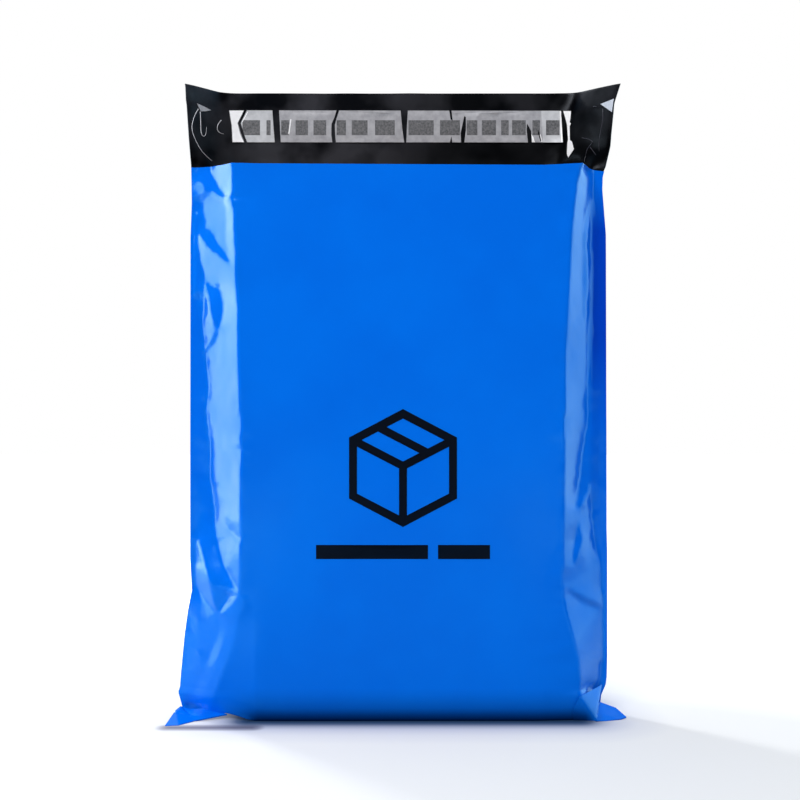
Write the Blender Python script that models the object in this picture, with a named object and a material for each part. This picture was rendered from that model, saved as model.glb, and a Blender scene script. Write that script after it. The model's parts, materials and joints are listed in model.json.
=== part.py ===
"""Poly mailer bag, stood up full, with its flap raised and the release liner still on the adhesive.

The bag is one piece of co-extruded film: a front panel, a bottom fold and a back panel that runs on
above the mouth as the closing flap. Two side welds join the panels. A carton fills it, so the panels
are flat between the carton's upright edges. Beside the carton each panel slopes steeply back to a
knee, then gently to the weld, and carries the sharp folds of crumpled film.

Lengths are millimetres until a mesh is made. X runs across the front, Y runs to the back, Z is up.
Depth is measured from the plane of the welds, to the front or to the back.

A place on the film is given by two shares. UP is 0 at the floor, 1 at the mouth and 2 at the flap's
top. OUT is 0 at the carton's side and 1 at the plain line of the weld. One flat pattern in X and Z is
triangulated once, and every face of film and tape is made from it by giving its points a depth.
"""

import math
from typing import NamedTuple

import bmesh
import bpy
import numpy as np
from mathutils import Matrix, Vector
from mathutils.geometry import delaunay_2d_cdt

MM = 0.001

# The real film is about 0.08 thick. This is its depth from front to back as a solid that stays whole.
FILM = 1.0
EAR_THICKNESS = 1.8
SEAT_GAP = 0.35

HALF_WIDTH = 125.0
HALF_DEPTH = 28.0
MOUTH_Z = 325.5
FLAP_HEIGHT = 53.0
WELD_WIDTH = 5.0
GENTLE_SLOPE = 0.3
SHOULDER = 26.0
BASE_RADIUS = 10.0
BASE_STEPS = 4

CARTON_WIDTH = 180.0
CARTON_OFF_CENTRE = 1.0
CARTON_BELOW_MOUTH = 7.0
CARTON_ROUNDING = 9.0
CARTON_CLEARANCE = 1.6

LINER_HEIGHT = 22.0
ADHESIVE_HEIGHT = 17.0
LINER_BELOW_TOP = 10.5
TAPE_THICKNESS = 0.45
TAPE_SIDE_MARGIN = 3.0

FILM_BLUE = (0.0, 0.16, 0.8, 1.0)
ADHESIVE_CLEAR = (0.75, 0.75, 0.7, 1.0)
LINER_GREY = (0.42, 0.42, 0.44, 1.0)
CARTON_BROWN = (0.5, 0.35, 0.2, 1.0)


class Level(NamedTuple):
    """One height on a side: how far out the weld is there, the knee's share of the way from the weld
    in to the panel's edge, how far out that edge is, and how far it lies behind the full depth."""

    up: float
    weld: float
    knee: float
    edge: float
    sunk: float


class Fold(NamedTuple):
    """A sharp ridge, or a dent where its height is negative: a low pyramid on a rhombus."""

    up: float
    out: float
    along: tuple
    width: float
    height: float


class Side(NamedTuple):
    """The left or the right of the bag, with its levels from the floor up, the rise of its lower
    edge as (out, height) pairs, and its ear as (beyond the weld, in front of it, height) corners."""

    sign: int
    levels: tuple
    arch: tuple
    ear: tuple
    front_folds: tuple
    back_folds: tuple


# Below the carton's corner the left panel edge swings out to the ear, and its lower edge arches.
LEFT = Side(
    sign=-1,
    levels=(
        Level(0.000, 0.93, 0.10, 0.69, 15.0),
        Level(0.015, 1.06, 0.10, 0.78, 13.0),
        Level(0.034, 1.18, 0.15, 0.89, 11.0),
        Level(0.074, 1.17, 0.13, 0.79, 8.0),
        Level(0.141, 1.12, 0.20, 0.57, 3.5),
        Level(0.184, 1.07, 0.33, 0.47, 2.0),
        Level(0.224, 1.00, 0.46, 0.15, 0.4),
        Level(0.286, 1.03, 0.58, 0.12, 0.4),
        Level(0.384, 1.03, 0.35, 0.11, 0.4),
        Level(0.488, 1.03, 0.25, 0.10, 0.4),
        Level(0.713, 1.03, 0.11, 0.15, 0.4),
        Level(0.876, 1.03, 0.11, 0.21, 0.4),
        Level(0.940, 1.01, 0.41, 0.31, 0.8),
        Level(1.000, 1.02, 0.32, 0.26, 0.4),
        Level(1.370, 1.06, 0.26, 0.50, 0.0),
        Level(1.760, 1.08, 0.24, 0.56, 0.0),
        Level(2.000, 1.13, 0.39, 0.58, 0.0),
    ),
    arch=((-0.14, 0.0), (0.14, 2.4), (0.36, 4.6), (0.64, 3.6), (1.2, 1.5)),
    ear=((-3.0, 0.0, 6.5), (4.0, 0.0, 9.0), (6.2, 9.0, 8.0), (7.6, 26.0, 5.0),
         (10.0, 38.0, 1.2), (-3.4, 31.0, 1.2), (-19.0, 20.0, 3.0), (-19.0, 4.0, 4.1)),
    front_folds=(
        Fold(0.968, 0.57, (7.0, -6.0), 4.0, -3.0),
        Fold(0.882, 0.58, (-8.0, 16.0), 4.5, -3.5),
        Fold(0.808, 0.65, (6.0, -15.0), 4.5, 3.0),
        Fold(0.700, 0.61, (1.5, 18.0), 4.0, 2.0),
        Fold(0.602, 0.44, (-4.0, 14.0), 4.0, -2.0),
        Fold(0.541, 0.39, (8.0, -6.0), 4.5, -3.0),
        Fold(0.449, 0.60, (2.0, 17.0), 4.0, 2.2),
        Fold(0.335, 0.38, (7.0, -6.0), 5.0, -2.6),
        Fold(0.264, 0.74, (4.0, -20.0), 4.5, 2.6),
        Fold(0.209, 0.53, (6.0, 5.0), 5.0, -3.4),
        Fold(0.117, 0.82, (4.5, 12.0), 4.0, -2.4),
    ),
    back_folds=(
        Fold(0.922, 0.53, (5.0, 13.0), 4.5, -3.2),
        Fold(0.774, 0.67, (-3.0, 19.0), 4.5, 2.6),
        Fold(0.657, 0.39, (6.0, -12.0), 4.4, -3.0),
        Fold(0.522, 0.56, (3.0, 18.0), 4.6, 2.4),
        Fold(0.393, 0.42, (-6.0, 12.0), 4.4, -3.0),
        Fold(0.283, 0.65, (3.5, -16.0), 4.4, 2.6),
        Fold(0.157, 0.72, (6.0, 8.0), 4.2, -3.0),
        Fold(1.200, -0.08, (16.0, -5.0), 4.0, -1.6),
        Fold(1.180, -1.69, (22.0, 4.0), 4.5, 1.2),
        Fold(1.330, 0.78, (3.5, -13.0), 3.4, 2.6),
        Fold(1.890, 0.69, (5.0, 3.0), 2.4, 1.8),
    ),
)

RIGHT = Side(
    sign=1,
    levels=(
        Level(0.000, 0.79, 0.10, 0.54, 8.0),
        Level(0.018, 0.88, 0.10, 0.57, 4.0),
        Level(0.049, 0.96, 0.14, 0.44, 2.5),
        Level(0.104, 0.97, 0.12, 0.41, 2.0),
        Level(0.144, 0.97, 0.17, 0.32, 1.0),
        Level(0.190, 0.97, 0.28, 0.20, 0.4),
        Level(0.246, 0.97, 0.33, 0.12, 0.4),
        Level(0.384, 0.97, 0.30, 0.14, 0.4),
        Level(0.682, 0.97, 0.25, 0.17, 0.4),
        Level(0.882, 0.97, 0.25, 0.28, 0.4),
        Level(0.965, 0.91, 0.19, 0.37, 0.6),
        Level(1.000, 0.92, 0.27, 0.47, 0.8),
        Level(1.370, 1.05, 0.24, 0.51, 0.0),
        Level(1.760, 1.12, 0.29, 0.51, 0.0),
        Level(2.000, 1.24, 0.34, 0.47, 0.0),
    ),
    arch=((-0.32, 0.0), (0.26, 0.0), (0.56, 0.4), (1.2, 1.2)),
    ear=((-9.0, 0.0, 5.0), (-4.0, 0.0, 9.0), (-1.1, 6.0, 7.6), (2.5, 12.0, 5.2),
         (8.3, 19.0, 1.8), (5.5, 21.0, 1.2), (-13.0, 22.0, 1.2), (-17.0, 4.0, 1.0)),
    front_folds=(
        Fold(0.912, 0.54, (-3.0, 15.0), 3.0, 2.4),
        Fold(0.774, 0.50, (2.0, -20.0), 3.4, -2.0),
        Fold(0.682, 0.76, (1.5, -19.0), 2.6, 1.6),
        Fold(0.575, 0.43, (-2.5, 20.0), 3.6, 2.0),
        Fold(0.433, 0.49, (3.0, -20.0), 4.4, -3.0),
        Fold(0.313, 0.40, (-3.0, 14.0), 4.0, 1.8),
        Fold(0.218, 0.53, (9.0, -4.0), 3.6, -3.2),
        Fold(0.074, 0.63, (4.0, 6.0), 3.4, -3.0),
    ),
    back_folds=(
        Fold(0.940, 0.62, (-3.0, 12.0), 3.4, -2.4),
        Fold(0.823, 0.46, (4.0, -16.0), 4.0, 2.4),
        Fold(0.710, 0.38, (-4.0, 13.0), 4.0, -2.8),
        Fold(0.584, 0.65, (2.0, 20.0), 3.6, 2.0),
        Fold(0.467, 0.41, (5.0, -12.0), 4.2, -3.0),
        Fold(0.320, 0.57, (-3.0, 17.0), 4.2, 2.4),
        Fold(0.190, 0.47, (6.0, 7.0), 4.0, -3.0),
        Fold(1.200, -1.38, (20.0, -5.0), 4.5, -1.4),
        Fold(1.220, 0.03, (10.0, 6.0), 4.0, 1.6),
        Fold(1.290, 0.78, (-3.5, -12.0), 3.4, 2.6),
        Fold(1.890, 0.69, (-5.0, 3.0), 2.4, 1.8),
    ),
)

SIDES = (LEFT, RIGHT)


def clear_scene():
    for item in list(bpy.data.objects):
        bpy.data.objects.remove(item, do_unlink=True)


def height_of(up):
    """A height from its share: 1 at the mouth, 2 at the flap's top."""
    return MOUTH_Z * min(up, 1.0) + FLAP_HEIGHT * max(up - 1.0, 0.0)


def up_of(z):
    return min(z / MOUTH_Z, 1.0) + max(z - MOUTH_Z, 0.0) / FLAP_HEIGHT


def carton_side(side):
    """How far the carton's side is from the middle of the bag."""
    return CARTON_WIDTH / 2 + side.sign * CARTON_OFF_CENTRE


def x_of(side, out):
    inner = carton_side(side)
    return side.sign * (inner + out * (HALF_WIDTH - inner))


def out_of(side, x):
    inner = carton_side(side)
    return (side.sign * x - inner) / (HALF_WIDTH - inner)


def level_value(side, name, z):
    """The value of that name at a height, between the levels below and above it."""
    values = [getattr(level, name) for level in side.levels]
    return float(np.interp(up_of(z), [level.up for level in side.levels], values))


def weld_x(side, z):
    return x_of(side, level_value(side, "weld", z))


def seal_x(side, z):
    """The inner edge of the weld, where the two layers part."""
    return weld_x(side, z) - side.sign * WELD_WIDTH


def edge_x(side, z):
    return x_of(side, level_value(side, "edge", z))


def knee_x(side, z):
    seal, edge = seal_x(side, z), edge_x(side, z)
    return seal + level_value(side, "knee", z) * (edge - seal)


def side_at(x):
    return LEFT if x < 0 else RIGHT


def base_z(x):
    """Height of the lower edge."""
    side = side_at(x)
    return float(np.interp(out_of(side, x), [out for out, _ in side.arch], [rise for _, rise in side.arch]))


def seal_foot(side):
    """Where the weld's inner edge meets the lower edge: the last point but one of the arch."""
    out, rise = side.arch[-2]
    return x_of(side, out), rise


def fold_height(fold, side, x, z):
    """The fold's height at a point: full at the middle of its rhombus, none at the rim."""
    length = math.hypot(*fold.along)
    dx, dz = x - x_of(side, fold.out), z - height_of(fold.up)
    along = abs(dx * fold.along[0] + dz * fold.along[1]) / length**2
    across = abs(dx * fold.along[1] - dz * fold.along[0]) / (length * fold.width)
    return fold.height * max(0.0, 1.0 - along - across)


def depth_at(x, z, folds):
    """Depth of the film's outer face. FOLDS names the side's folds of the front or the back panel."""
    side = side_at(x)
    past_seal = side.sign * (seal_x(side, z) - x)
    if past_seal < 0.05:
        return FILM
    knee = side.sign * (seal_x(side, z) - knee_x(side, z))
    edge = side.sign * (seal_x(side, z) - edge_x(side, z))
    places = (0.0, knee, edge, edge + SHOULDER)
    depths = (FILM, FILM + GENTLE_SLOPE * knee, HALF_DEPTH - level_value(side, "sunk", z), HALF_DEPTH)
    depth = float(np.interp(past_seal, places, depths))
    above_base = z - base_z(x)
    if above_base < BASE_RADIUS:
        arc = math.sqrt(max(BASE_RADIUS**2 - (BASE_RADIUS - above_base) ** 2, 0.0))
        depth -= (BASE_RADIUS - arc) * depth / HALF_DEPTH
    depth += sum(fold_height(fold, one, x, z) for one in SIDES for fold in getattr(one, folds))
    return max(depth, FILM * 1.2)


def upright(side, place, lowest, highest):
    """A line up the side as points, one for each level between two heights."""
    heights = [height_of(level.up) for level in side.levels]
    return [(place(side, z), z) for z in heights if lowest <= z <= highest]


def base_points(first, last):
    """The lower edge's own points between two places, from left to right."""
    left = [(x_of(LEFT, out), rise) for out, rise in reversed(LEFT.arch)]
    right = [(x_of(RIGHT, out), rise) for out, rise in RIGHT.arch]
    return [(x, z) for x, z in left + right if first < x < last]


def outline():
    """The whole pattern's rim: along the base, up one weld, over the flap and down the other."""
    feet = [weld_x(side, 0.0) for side in SIDES]
    base = [(feet[0], base_z(feet[0])), *base_points(*feet), (feet[1], base_z(feet[1]))]
    lowest = height_of(LEFT.levels[1].up)
    top = height_of(2.0)
    return base + upright(RIGHT, weld_x, lowest, top) + upright(LEFT, weld_x, lowest, top)[::-1]


def seal_rim():
    """The outline inside the welds, up to the mouth, where the two layers are apart."""
    lowest = height_of(LEFT.levels[1].up)
    left_foot, right_foot = seal_foot(LEFT), seal_foot(RIGHT)
    base = [left_foot, *base_points(left_foot[0], right_foot[0]), right_foot]
    return base + upright(RIGHT, seal_x, lowest, MOUTH_Z) + upright(LEFT, seal_x, lowest, MOUTH_Z)[::-1]


def base_rounding_line(share):
    """A line along the lower edge, part of the way round the panel's bottom radius."""
    rise = BASE_RADIUS * (1.0 - math.cos(share * math.pi / 2))
    ends = [x_of(side, side.arch[-2][0] * 0.75) for side in SIDES]
    return [(x, base_z(x) + rise) for x in (ends[0], *(x for x, _ in base_points(*ends)), ends[1])]


def tape_rim(height):
    """The outline of a strip on the flap, centred on the liner's height and ending near the welds."""
    middle = height_of(2.0) - LINER_BELOW_TOP - LINER_HEIGHT / 2
    low, high = middle - height / 2, middle + height / 2
    places = ((LEFT, low), (RIGHT, low), (RIGHT, high), (LEFT, high))
    return [(seal_x(side, z) - side.sign * TAPE_SIDE_MARGIN, z) for side, z in places]


def rhombus(fold, side):
    """A fold's middle and its four outer corners: tip, one side, tail and the other side."""
    length = math.hypot(*fold.along)
    across = (fold.along[1] / length * fold.width, -fold.along[0] / length * fold.width)
    x, z = x_of(side, fold.out), height_of(fold.up)
    corners = [(x + way * dx, z + way * dz) for way in (1, -1) for dx, dz in (fold.along, across)]
    return (x, z), corners


def inside(rim, x, z):
    hit = False
    for (x0, z0), (x1, z1) in zip(rim, rim[1:] + rim[:1]):
        if (z0 > z) != (z1 > z) and x < x0 + (z - z0) * (x1 - x0) / (z1 - z0):
            hit = not hit
    return hit


def flat_pattern():
    """Points and triangles of the whole film, with every crease as an edge."""
    points, lines = [], []

    def draw(path, closed=False):
        first = len(points)
        points.extend(Vector(place) for place in path)
        lines.extend((i, i + 1) for i in range(first, len(points) - 1))
        if closed:
            lines.append((len(points) - 1, first))

    top = height_of(2.0)
    draw(outline(), closed=True)
    draw(seal_rim(), closed=True)
    draw([(weld_x(side, MOUTH_Z), MOUTH_Z) for side in SIDES])
    for side in SIDES:
        lowest = height_of(side.levels[1].up)
        draw(upright(side, knee_x, lowest, top))
        draw(upright(side, edge_x, lowest, top))
        draw([(x - side.sign * SHOULDER, z) for x, z in upright(side, edge_x, BASE_RADIUS, MOUTH_Z)])
        for fold in side.front_folds + side.back_folds:
            middle, corners = rhombus(fold, side)
            draw(corners, closed=True)
            draw([corners[0], middle, corners[2]])
            draw([corners[1], middle, corners[3]])
    for step in range(1, BASE_STEPS + 1):
        draw(base_rounding_line(step / BASE_STEPS))
    for height in (LINER_HEIGHT, ADHESIVE_HEIGHT):
        draw(tape_rim(height), closed=True)
    flat, _, faces, *_ = delaunay_2d_cdt(points, lines, [], 1, 0.02)
    return [(place.x, place.y) for place in flat], [tuple(face) for face in faces]


def middle_of(face, points):
    return [sum(points[i][axis] for i in face) / 3 for axis in (0, 1)]


def rim_edges(faces):
    """The edges that belong to only one of the faces."""
    owners = {}
    for face in faces:
        for pair in zip(face, face[1:] + face[:1]):
            owners.setdefault(frozenset(pair), []).append(pair)
    return [pairs[0] for pairs in owners.values() if len(pairs) == 1]


class Shell:
    """A closed body made of layers of the flat pattern and the walls that join their rims."""

    def __init__(self, name):
        self.name = name
        self.mesh = bmesh.new()
        self.corners = {}

    def corner(self, place):
        """The vertex at a place. Layers that touch there share it."""
        key = tuple(round(value, 4) for value in place)
        if key not in self.corners:
            self.corners[key] = self.mesh.verts.new([value * MM for value in key])
        return self.corners[key]

    def face(self, *places):
        corners = [self.corner(place) for place in places]
        if len(set(corners)) == 3:
            self.mesh.faces.new(corners)

    def layer(self, faces, place):
        for a, b, c in faces:
            self.face(place(a), place(b), place(c))

    def wall(self, edges, one, other):
        for a, b in edges:
            self.face(one(a), one(b), other(b))
            self.face(one(a), other(b), other(a))

    def split_wall(self, low, high, one, between, other):
        """A wall beside a third layer, whose corner at the high end lies between the other two."""
        self.face(one(low), one(high), between(high))
        self.face(one(low), between(high), other(high))
        self.face(one(low), other(high), other(low))

    def finish(self, color):
        bmesh.ops.recalc_face_normals(self.mesh, faces=self.mesh.faces)
        return make_object(self.name, self.mesh, color)


def make_object(name, mesh, color):
    """The mesh as an object in the scene, with a plain material of its own."""
    data = bpy.data.meshes.new(name)
    mesh.to_mesh(data)
    mesh.free()
    material = bpy.data.materials.new(name)
    material.use_nodes = True
    material.node_tree.nodes["Principled BSDF"].inputs["Base Color"].default_value = color
    data.materials.append(material)
    made = bpy.data.objects.new(name, data)
    bpy.context.collection.objects.link(made)
    return made


def mailer_bag(points, faces):
    """The film: two outer and two inner layers, walled at the welds, the base, the mouth and the flap."""
    front = [depth_at(x, z, "front_folds") for x, z in points]
    back = [depth_at(x, z, "back_folds") for x, z in points]
    lift = [FILM * max(0.0, 1.0 - (z - base_z(x)) / BASE_RADIUS) for x, z in points]

    def front_out(i):
        return points[i][0], -front[i], points[i][1]

    def back_out(i):
        return points[i][0], back[i], points[i][1]

    def front_in(i):
        return points[i][0], FILM - front[i], points[i][1] + lift[i]

    def back_in(i):
        return points[i][0], back[i] - FILM, points[i][1] + lift[i]

    def on_mouth(*corners):
        return all(abs(points[i][1] - MOUTH_Z) < 0.01 for i in corners)

    apart = seal_rim()
    body = [face for face in faces if middle_of(face, points)[1] < MOUTH_Z]
    flap = [face for face in faces if middle_of(face, points)[1] > MOUTH_Z]
    open_body = [face for face in body if inside(apart, *middle_of(face, points))]
    open_rim = rim_edges(open_body)
    opening = {frozenset(edge) for edge in open_rim if on_mouth(*edge)}

    shell = Shell("mailer_bag")
    shell.layer(body, front_out)
    shell.layer(body + flap, back_out)
    shell.layer(open_body, front_in)
    shell.layer(open_body + flap, back_in)
    for edge in rim_edges(body):
        low, high = sorted(edge, key=lambda i: points[i][1])
        if frozenset(edge) in opening:
            shell.wall([edge], front_out, front_in)
        elif on_mouth(low):
            shell.wall([edge], front_out, back_in)
        elif on_mouth(high):
            shell.split_wall(low, high, front_out, back_in, back_out)
        else:
            shell.wall([edge], front_out, back_out)
    shell.wall([edge for edge in open_rim if frozenset(edge) not in opening], front_in, back_in)
    shell.wall([edge for edge in rim_edges(flap) if not on_mouth(*edge)], back_out, back_in)
    return shell.finish(FILM_BLUE)


def tape(name, points, faces, height, in_front, color):
    """A strip on the flap's inner face, that far in front of the face, following its folds."""
    rim = tape_rim(height)
    depth = [depth_at(x, z, "back_folds") - FILM - in_front for x, z in points]
    chosen = [face for face in faces if inside(rim, *middle_of(face, points))]

    def rear(i):
        return points[i][0], depth[i], points[i][1]

    def fore(i):
        return points[i][0], depth[i] - TAPE_THICKNESS, points[i][1]

    shell = Shell(name)
    shell.layer(chosen, rear)
    shell.layer(chosen, fore)
    shell.wall(rim_edges(chosen), rear, fore)
    return shell.finish(color)


def packed_carton():
    """The contents: a plain carton with softened edges, standing on the film's base."""
    low = FILM + SEAT_GAP
    high = MOUTH_Z - CARTON_BELOW_MOUTH
    size = Vector((CARTON_WIDTH, 2 * (HALF_DEPTH - FILM - CARTON_CLEARANCE), high - low)) * MM
    middle = Vector((CARTON_OFF_CENTRE, 0.0, (low + high) / 2)) * MM
    mesh = bmesh.new()
    bmesh.ops.create_cube(mesh, size=1.0, matrix=Matrix.LocRotScale(middle, None, size))
    bmesh.ops.bevel(mesh, geom=mesh.edges[:], offset=CARTON_ROUNDING * MM, segments=3, profile=0.5,
                    affect="EDGES")
    return make_object("packed_carton", mesh, CARTON_BROWN)


def ear(name, side):
    """The bag's bottom corner: a flat point of doubled film beside the base."""
    mesh = bmesh.new()
    layers = []
    for half in (EAR_THICKNESS / 2, -EAR_THICKNESS / 2):
        places = [(side.sign * (HALF_WIDTH + beyond), -ahead, z + half) for beyond, ahead, z in side.ear]
        layers.append([mesh.verts.new(Vector(place) * MM) for place in places])
    above, below = layers
    mesh.faces.new(above)
    mesh.faces.new(below)
    for i, start in enumerate(above):
        j = (i + 1) % len(above)
        mesh.faces.new((start, above[j], below[j], below[i]))
    bmesh.ops.triangulate(mesh, faces=mesh.faces[:])
    bmesh.ops.recalc_face_normals(mesh, faces=mesh.faces)
    return make_object(name, mesh, FILM_BLUE)


def join(body, addition):
    """Adds one closed body to another, and keeps the addition itself out of the result."""
    union = body.modifiers.new(addition.name, "BOOLEAN")
    union.operation = "UNION"
    union.solver = "EXACT"
    union.object = addition
    addition.hide_render = True


def centre(objects):
    """Moves everything so that the box round it stands on the origin."""
    corners = [corner.co for item in objects for corner in item.data.vertices]
    low, high = [[pick(corner[axis] for corner in corners) for axis in range(3)] for pick in (min, max)]
    shift = Vector((-(low[0] + high[0]) / 2, -(low[1] + high[1]) / 2, -low[2]))
    for item in objects:
        item.data.transform(Matrix.Translation(shift))


def main():
    clear_scene()
    points, faces = flat_pattern()
    bag = mailer_bag(points, faces)
    ears = [ear("left_ear", LEFT), ear("right_ear", RIGHT)]
    for corner in ears:
        join(bag, corner)
    adhesive = tape("adhesive_strip", points, faces, ADHESIVE_HEIGHT, SEAT_GAP, ADHESIVE_CLEAR)
    under_liner = 2 * SEAT_GAP + TAPE_THICKNESS
    liner = tape("release_liner", points, faces, LINER_HEIGHT, under_liner, LINER_GREY)
    centre([bag, *ears, adhesive, liner, packed_carton()])


main()
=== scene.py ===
"""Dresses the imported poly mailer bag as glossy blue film, black inside, round its carton.

The film is one sheet on a grid: down the front from the mouth, round the base and up the back to the
flap's top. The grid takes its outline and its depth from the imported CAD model. The creased sides are
then relaid from facets, each an outline in the photograph with the slope that the film has there. The
ears at the foot, the print, the split release liner and the adhesive's puckers are placed on it as the
camera sees them.

Lengths are millimetres until a mesh is made. Materials, the floor's shades and the lamps are in metres.
Depth is measured from the plane of the welds. A place in the photograph is a pixel (u, v) of its
800 x 800 frame.
"""

import json
import math

import bmesh
import bpy
import numpy as np
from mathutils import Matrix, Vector
from mathutils.bvhtree import BVHTree
from mathutils.geometry import delaunay_2d_cdt

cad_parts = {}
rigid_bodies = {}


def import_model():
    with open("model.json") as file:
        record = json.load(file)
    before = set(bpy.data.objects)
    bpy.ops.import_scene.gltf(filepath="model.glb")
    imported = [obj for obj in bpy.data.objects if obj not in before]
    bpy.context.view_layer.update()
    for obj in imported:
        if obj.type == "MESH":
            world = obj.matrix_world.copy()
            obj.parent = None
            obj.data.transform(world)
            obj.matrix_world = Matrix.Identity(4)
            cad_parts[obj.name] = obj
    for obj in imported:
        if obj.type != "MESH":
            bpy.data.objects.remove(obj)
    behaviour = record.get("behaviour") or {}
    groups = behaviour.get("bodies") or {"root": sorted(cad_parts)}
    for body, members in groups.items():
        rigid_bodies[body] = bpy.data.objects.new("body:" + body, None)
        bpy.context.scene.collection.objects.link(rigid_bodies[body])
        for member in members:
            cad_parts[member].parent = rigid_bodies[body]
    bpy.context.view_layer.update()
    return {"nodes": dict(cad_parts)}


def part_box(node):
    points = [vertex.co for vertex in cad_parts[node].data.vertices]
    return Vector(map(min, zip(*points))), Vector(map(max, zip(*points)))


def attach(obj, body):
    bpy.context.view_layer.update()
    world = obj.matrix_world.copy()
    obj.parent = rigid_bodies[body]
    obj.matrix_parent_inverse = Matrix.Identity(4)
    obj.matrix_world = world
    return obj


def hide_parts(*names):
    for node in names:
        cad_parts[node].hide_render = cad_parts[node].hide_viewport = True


# Metres in a millimetre.
MM = 0.001

# The camera stands level in front of the bag, a little left of the carton's middle, and faces its panel.
FRAME_MIDDLE = 400.0
FOCAL_PIXELS = 1411.0
CAMERA_HEIGHT = 187.6
CAMERA_DISTANCE = 850.0
CAMERA_ASIDE = -1.0
SENSOR = 36.0

# Thicknesses, and how far things stand off the film towards the camera.
FILM_THICKNESS = 0.4
EAR_THICKNESS = 0.8
LINER_THICKNESS = 0.2
LINER_LIFT = 0.6
PRINT_LIFT = 0.2
PUCKER_LIFT = 0.1
# A pucker's radius, and the share of it that is lost towards the end.
PUCKER_RADIUS = 0.24
PUCKER_TAPER = 0.75
# The film is drawn this far inside the CAD film's outer face. Then its least depth, the panels' depth
# and the most that a relaid side may reach.
CAD_FILM_EXTRA = 0.5
LEAST_DEPTH = 0.5
FULL_DEPTH = 28.0
MOST_DEPTH = 29.0

# Heights: the mouth, the flap's top, and where the back's rows start to lie close for the flap.
MOUTH_Z = 325.5
FLAP_TOP = 378.3
BACK_FLAP_Z = MOUTH_Z - 5
# The film rounds into the base over this height and inset. Beside the CAD's ears, which end at this
# height, its edges run in to the foot.
BASE_RISE = 13.0
BASE_INSET = 1.5
ABOVE_EARS = 10.3
FOOT_INSET = 2.0
# The CAD bag's depth is probed from this height up, and so far short of the flap's top and the mouth.
# The rays for its edges and for its faces start this far out.
LOWEST_PROBE = 13.3
TOP_MARGIN = 0.1
MOUTH_MARGIN = 0.3
EDGE_PROBE, FACE_PROBE = 300.0, 100.0
# Those for the edges pass this far behind the plane of the welds. A missed face counts as this deep.
WELD_BEHIND = 0.5
MISSED_DEPTH = 1.0
# The ears' and the film's gap to the floor.
FLOOR_GAP = 0.3
FILM_GAP = 0.2

# The grid: its columns on each side and on the panel, which is this wide from the middle, its rows in
# the rounding and under the base, and the steps between the rows on the walls.
PANEL_HALF = 84.0
SIDE_COLUMNS = 36
PANEL_COLUMNS = 28
LEFT_STRIP = np.s_[:, :SIDE_COLUMNS + 1]
RIGHT_STRIP = np.s_[:, :-SIDE_COLUMNS - 2:-1]
ROUNDING_ROWS = 13
BASE_STRIPS = 8
ROW_STEP = 1.25
BACK_ROW_STEP = 2.1
# The walls' rows stop above these heights in front and behind.
FRONT_LOWEST, BACK_LOWEST = BASE_RISE + 0.7, BASE_RISE + 1.0
# Seeds of the relief in front and behind.
FRONT_SEED, BACK_SEED = 3, 8

# A relaid strip keeps parts flatter than this slope so much more firmly, and follows slopes up the bag
# less than those across. It is solved in rounds, until the errors' sum of squares is this small.
FLAT_SLOPE, FLAT_FIRMNESS = 0.15, 8.0
UPWARD_PULL = 0.35
MOST_ROUNDS = 600
SETTLED = 1e-6
TINY = 1e-12
# The flat flank beside the weld rises at least this much, in these columns and below this pixel.
FLANK_SLOPE, FLANK_COLUMNS = 0.34, (4, 16)
FLANK_TOP = 200

# Lumps of the film's small relief: how high they are, and how wide and how tall a lump is. Those of the
# flap shift sideways by a lump's width over the last height.
COARSE_LUMPS = (0.35, 9.0, 13.0)
FINE_LUMPS = (0.12, 3.5, 5.0)
WIDE_LUMPS = (0.3, 46.0, 58.0)
FLAP_LUMPS = (0.6, 13.0, 24.0)
FLAP_LEAN = 40.0
# Where the relief fades in or out, by the distance from the middle, and near the foot by height.
BESIDE_CARTON, SHORT_OF_WELD = (88.0, 96.0), (126.0, 120.0)
ON_PANEL, ON_FLAP = (110.0, 90.0), (128.0, 118.0)
ABOVE_MOUTH = (MOUTH_Z, MOUTH_Z + 8.0)
CALM_FOOT, CALM_LEAST = (40.0, 100.0), 0.15

# The flap's ends bend forward over this width, which narrows towards the top on the left and right.
FLAP_SWEEP = 30.0
FLAP_NARROWING = (11.0, 6.0)
# The bend eases out from this share of the full depth on, and the flap leaves the back panel between
# these heights.
FLAP_BEND = 0.85
FLAP_START = (MOUTH_Z - 4.0, MOUTH_Z + 14.0)

# The cuts in each edge of an ear's facets, the passes that round its creases, and the angle from which
# edges of any mesh stay sharp.
EAR_CUTS = 7
EAR_SMOOTHINGS = 2
SHARP_ANGLE = math.radians(60)

# Places of the materials in a mesh, how many a mesh has at most, and the mark for what is left out.
FILM_INSIDE, FILM_PRINT = 1, 2
LINER_SILVER, LINER_PRINT, LINER_PAINTED_HIGHLIGHT, LINER_PALE, LINER_LIT_SILVER = range(5)
MATERIAL_PLACES = 5
LEFT_OUT = -1
# What the triangulation is told: to keep what lies inside the outlines, and how near places are one.
KEEP_INSIDE, SAME_PLACE = 1, 0.01

BLACK, WHITE = (0.0, 0.0, 0.0, 1.0), (1.0, 1.0, 1.0, 1.0)
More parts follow.
